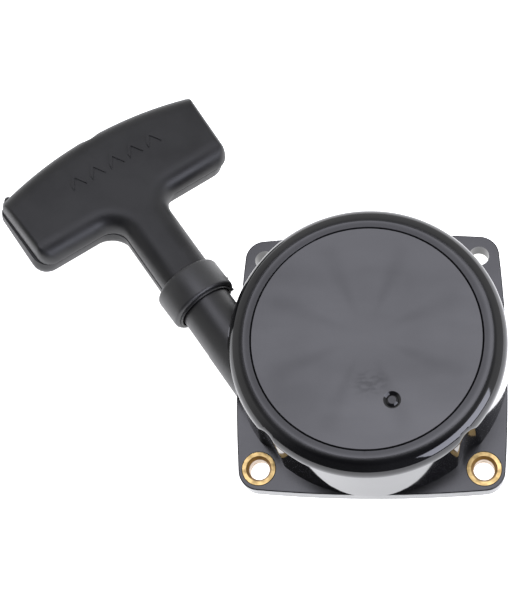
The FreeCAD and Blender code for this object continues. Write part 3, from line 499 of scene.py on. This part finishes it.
def collar_mesh():
    """Hollow collar over the spout's end, with rounded rims and a thin lip inside its mouth."""
    bend = 1.3
    mouth = COLLAR_RADIUS - bend
    core = ROPE_HOLE - 0.5
    profile = [(core, COLLAR_FLOOR), (COLLAR_BORE, COLLAR_FLOOR), (COLLAR_BORE, COLLAR_START - 0.5),
               (COLLAR_BORE + 0.5, COLLAR_START - 0.5), (COLLAR_BORE + 0.6, COLLAR_START + 0.1)]
    profile += rounded((mouth, COLLAR_START + bend), bend, -90, 0)
    profile += rounded((mouth, COLLAR_END - bend), bend, 0, 90)
    profile += [(UPPER_MOULD["stem"] - 2, COLLAR_END), (core, COLLAR_END)]
    return turned_mesh("collar", profile, 120)


def chevron_mesh(across, up, width=5.2, height=6.4, stroke=2.0, proud=0.4):
    """Small raised arrowhead that points along the pull."""
    half = width / 2
    outline = [(-half, 0), (0, height - stroke), (half, 0), (half, stroke), (0, height), (-half, stroke)]
    low = [(across + x, HALF_DEPTH - 1.0, up + z) for x, z in outline]
    high = [(across + x, HALF_DEPTH + proud, up + z) for x, z in outline]
    return mesh_from_rings("chevron", [low, high])


def flash_mesh(across, up, radius, half_depth):
    """Lens-shaped scrap of mould flash that sticks out at the parting plane."""
    rings = []
    for share, depth in ((0.35, -1.0), (0.8, -0.6), (1.0, 0.0), (0.8, 0.6), (0.35, 1.0)):
        angles = [2 * math.pi * k / 16 for k in range(16)]
        rings.append([(across + radius * share * math.cos(a), half_depth * depth,
                       up + radius * share * math.sin(a)) for a in angles])
    return mesh_from_rings("flash", rings)


def make_handle(materials):
    handle = new_piece("pull_handle", handle_skin())
    lean = Matrix.Translation((0.2 * MM, 0, COLLAR_START * MM)) @ Matrix.Rotation(COLLAR_LEAN, 4, "Y")
    lean = lean @ Matrix.Translation((0, 0, -COLLAR_START * MM))
    combine(handle, new_piece("collar", collar_mesh(), lean), "UNION")
    for across in CHEVRONS:
        combine(handle, new_piece("arrow", chevron_mesh(across, CHEVRON_FOOT)), "UNION")
    for spot in FLASHES:
        combine(handle, new_piece("flash", flash_mesh(*spot)), "UNION")
    flare = KNOT_ROOM + 1.2
    bore = [(ROPE_HOLE, COLLAR_START + 2), (ROPE_HOLE, KNOT_FLOOR), (KNOT_ROOM, KNOT_FLOOR),
            (KNOT_ROOM, BAR_CROWN - 1.2), (flare, BAR_CROWN + 0.2), (flare, BAR_CROWN + 2)]
    combine(handle, new_piece("bore", lathe_mesh("bore", bore)), "DIFFERENCE")
    handle.data.transform(rope_frame(ROLL))
    bmesh_tidy(handle.data)
    smooth(handle, 35.0)
    finish_piece(handle, "handle", "handle_plastic", materials, ["handle_grip"])


# ---------------------------------------------------------------------------------- rope

ROPE_RADIUS = 1.75
LEAD_START, LEAD_MOVES, LEAD_END = 2.0, 40.0, 103.0


def braid_radius(angle, distance):
    """Rope radius where two families of strands cross over and under each other."""
    strands, pitch = 6, 15.0
    turn = 2 * math.pi * distance / pitch
    one = abs(math.cos(strands * (angle - turn) / 2))
    two = abs(math.cos(strands * (angle + turn) / 2))
    over = 0.5 + 0.5 * math.sin(strands * angle) * math.sin(strands * turn)
    height = max(one * (0.75 + 0.25 * over), two * (1.0 - 0.25 * over))
    return ROPE_RADIUS * (0.86 + 0.14 * height)


def drawn_out(distance):
    """Where a point of the rope lies once the rope is fully pulled."""
    share = min(max((distance - LEAD_START) / (LEAD_MOVES - LEAD_START), 0.0), 1.0)
    return distance + PULL * share * share * (3 - 2 * share)


def make_rope_lead(materials):
    """Braided rope: its strands are packed inside the housing so that they look right when drawn out."""
    spacing = 0.8
    around = 30
    rings = []
    distance = LEAD_START
    while distance < LEAD_END:
        far = drawn_out(distance)
        ring = []
        for k in range(around):
            angle = 2 * math.pi * k / around
            radius = braid_radius(angle, far)
            ring.append((radius * math.cos(angle), radius * math.sin(angle), distance))
        rings.append(ring)
        step = spacing
        while drawn_out(distance + step) - far > spacing * 1.05 and step > 0.004:
            step *= 0.8
        distance += step
    rope = new_piece("rope_lead_braid", mesh_from_rings("rope_lead_braid", rings), rope_frame())
    smooth(rope, 60.0)
    finish_piece(rope, None, "rope", materials, ["rope_lead"])
    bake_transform(rope)


def knot_mesh(name, width, length, tube):
    """Overhand knot: a rope-thick tube along a trefoil path, squeezed to a barrel."""
    path = []
    steps = 120
    for k in range(steps):
        turn = 2 * math.pi * k / steps
        across = math.sin(turn) + 2 * math.sin(2 * turn)
        up = math.cos(turn) - 2 * math.cos(2 * turn)
        path.append(Vector((across * width / 3, up * width / 3, -math.sin(3 * turn) * length / 2)))
    rings = []
    around = 14
    for k in range(steps):
        forward = (path[(k + 1) % steps] - path[k - 1]).normalized()
        side = forward.cross(Vector((path[k].x, path[k].y, 0.01)).normalized()).normalized()
        out = side.cross(forward)
        ring = []
        for j in range(around):
            angle = 2 * math.pi * j / around
            strand = 1 + 0.06 * math.cos(3 * angle + k * 0.5)
            ring.append(path[k] + (side * math.cos(angle) + out * math.sin(angle)) * tube * strand)
        rings.append(ring)
    rings.append(rings[0])
    return mesh_from_rings(name, rings, capped=False)


def make_knots(materials):
    """Tied ends of the rope: one in the handle's pocket, one on the reel's cheek."""
    low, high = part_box("reel_knot")
    reel_spot = Matrix.Translation(Vector(((low.x + high.x) / 2, (low.y + high.y) / 2, high.z - 2.0 * MM)))
    handle_spot = rope_frame() @ Matrix.Translation((0, 0, 105.7 * MM))
    plans = (("handle_tied_knot", handle_spot, 3.0, 3.4, 1.6, "rope", "handle_knot"),
             ("reel_tied_knot", reel_spot, 1.9, 1.4, 1.2, "reel", "reel_knot"))
    for name, spot, width, length, tube, body, node in plans:
        knot = new_piece(name, knot_mesh(name, width, length, tube), spot)
        bmesh_tidy(knot.data)
        smooth(knot, 80.0)
        finish_piece(knot, body, "rope", materials, [node])


def bmesh_tidy(mesh):
    """Weld points that coincide and make the normals point out."""
    shape = bmesh.new()
    shape.from_mesh(mesh)
    bmesh.ops.remove_doubles(shape, verts=shape.verts, dist=0.001 * MM)
    bmesh.ops.recalc_face_normals(shape, faces=shape.faces)
    shape.to_mesh(mesh)
    shape.free()


# ---------------------------------------------------------------- camera, floor and light

def aim(thing, forward, up):
    """Point an object's -Z along forward with its Y near up."""
    back = -Vector(forward).normalized()
    side = Vector(up).cross(back).normalized()
    thing.rotation_euler = Matrix((side, back.cross(side), back)).transposed().to_euler()


def make_camera():
    camera = bpy.data.objects.new("camera", bpy.data.cameras.new("camera"))
    camera.data.sensor_width = 36.0
    camera.data.lens = 82.82
    camera.data.clip_start = 0.01
    camera.location = (0.02677, -0.13670, 0.46692)
    aim(camera, (-0.13810, 0.32482, -0.93564), (0.01652, 0.94532, 0.32574))
    bpy.context.scene.collection.objects.link(camera)
    bpy.context.scene.camera = camera


def softbox(name, place, width, depth, radiance, color):
    """Rectangular light that faces the object and looks equally bright from all sides."""
    light = bpy.data.lights.new(name, "AREA")
    light.shape = "RECTANGLE"
    light.size = width
    light.size_y = depth
    light.energy = radiance * math.pi * width * depth
    light.color = color
    lamp = bpy.data.objects.new(name, light)
    lamp.location = place
    aim(lamp, -Vector(place), (0, 0, 1) if abs(Vector(place).normalized().z) < 0.8 else (0, 1, 0))
    bpy.context.scene.collection.objects.link(lamp)


def from_angles(turn, height, distance):
    """Point at an azimuth and elevation in degrees."""
    turn, height = math.radians(turn), math.radians(height)
    flat = distance * math.cos(height)
    return flat * math.cos(turn), flat * math.sin(turn), distance * math.sin(height)


def studio_world():
    """Pale walls behind and beside the object, shade on the camera's side."""
    world = bpy.data.worlds.new("studio")
    world.use_nodes = True
    n = Nodes("unused")
    bpy.data.materials.remove(n.material)
    n.tree = world.node_tree
    n.tree.nodes.clear()
    x, y, z = n.split(n.tree.nodes.new("ShaderNodeTexCoord").outputs["Generated"])
    flat = n.math("SQRT", n.plus(n.times(x, x), n.times(y, y)))
    behind = n.ramp(n.math("DIVIDE", y, n.math("MAXIMUM", flat, 0.05)), -0.75, -0.10, 0.08, 1.0)
    low = n.ramp(z, 0.68, 0.86, 1.0, 0.35)
    shade = n.times(behind, low)
    seen = n.tree.nodes.new("ShaderNodeLightPath").outputs["Is Camera Ray"]
    background = n.tree.nodes.new("ShaderNodeBackground")
    n.link(n.mix(seen, (1.0, 1.0, 1.01), (0.93, 0.93, 0.94)), background.inputs["Color"])
    strength = n.plus(n.times(seen, n.math("SUBTRACT", 1.0, shade)), shade)
    n.link(strength, background.inputs["Strength"])
    output = n.tree.nodes.new("ShaderNodeOutputWorld")
    n.link(background.outputs[0], output.inputs[0])
    bpy.context.scene.world = world


def make_stage():
    """White table that glows softly, as a product photographer's light table does."""
    reach = 3.0
    corners = [(-reach, -reach, 0), (reach, -reach, 0), (reach, reach, 0), (-reach, reach, 0)]
    mesh = bpy.data.meshes.new("floor")
    mesh.from_pydata(corners, [], [(0, 1, 2, 3)])
    floor = new_piece("floor", mesh, Matrix.Translation((0, 0, -0.2 * MM)))
    n = Nodes("floor_paper")
    tint = n.noise(3.0, 2.0)
    n.set(color=n.mix(tint, (0.90, 0.90, 0.90), (0.94, 0.94, 0.94)), rough=0.8, gloss=0.2,
          glow=1.35, glow_color=(1.0, 1.0, 1.0))
    mesh.materials.append(n.material)
    studio_world()
    softbox("overhead", (0.02, 0.275, 1.0), 0.66, 0.51, 3.85, (0.975, 0.975, 1.10))
    softbox("window", from_angles(-35.0, 26.0, 1.2), 1.0, 0.78, 6.0, (0.92, 0.94, 1.10))
    bpy.context.scene.view_settings.view_transform = "Standard"


materials = make_materials()
dress_cad(materials)
make_handle(materials)
make_rope_lead(materials)
make_knots(materials)
make_camera()
make_stage()
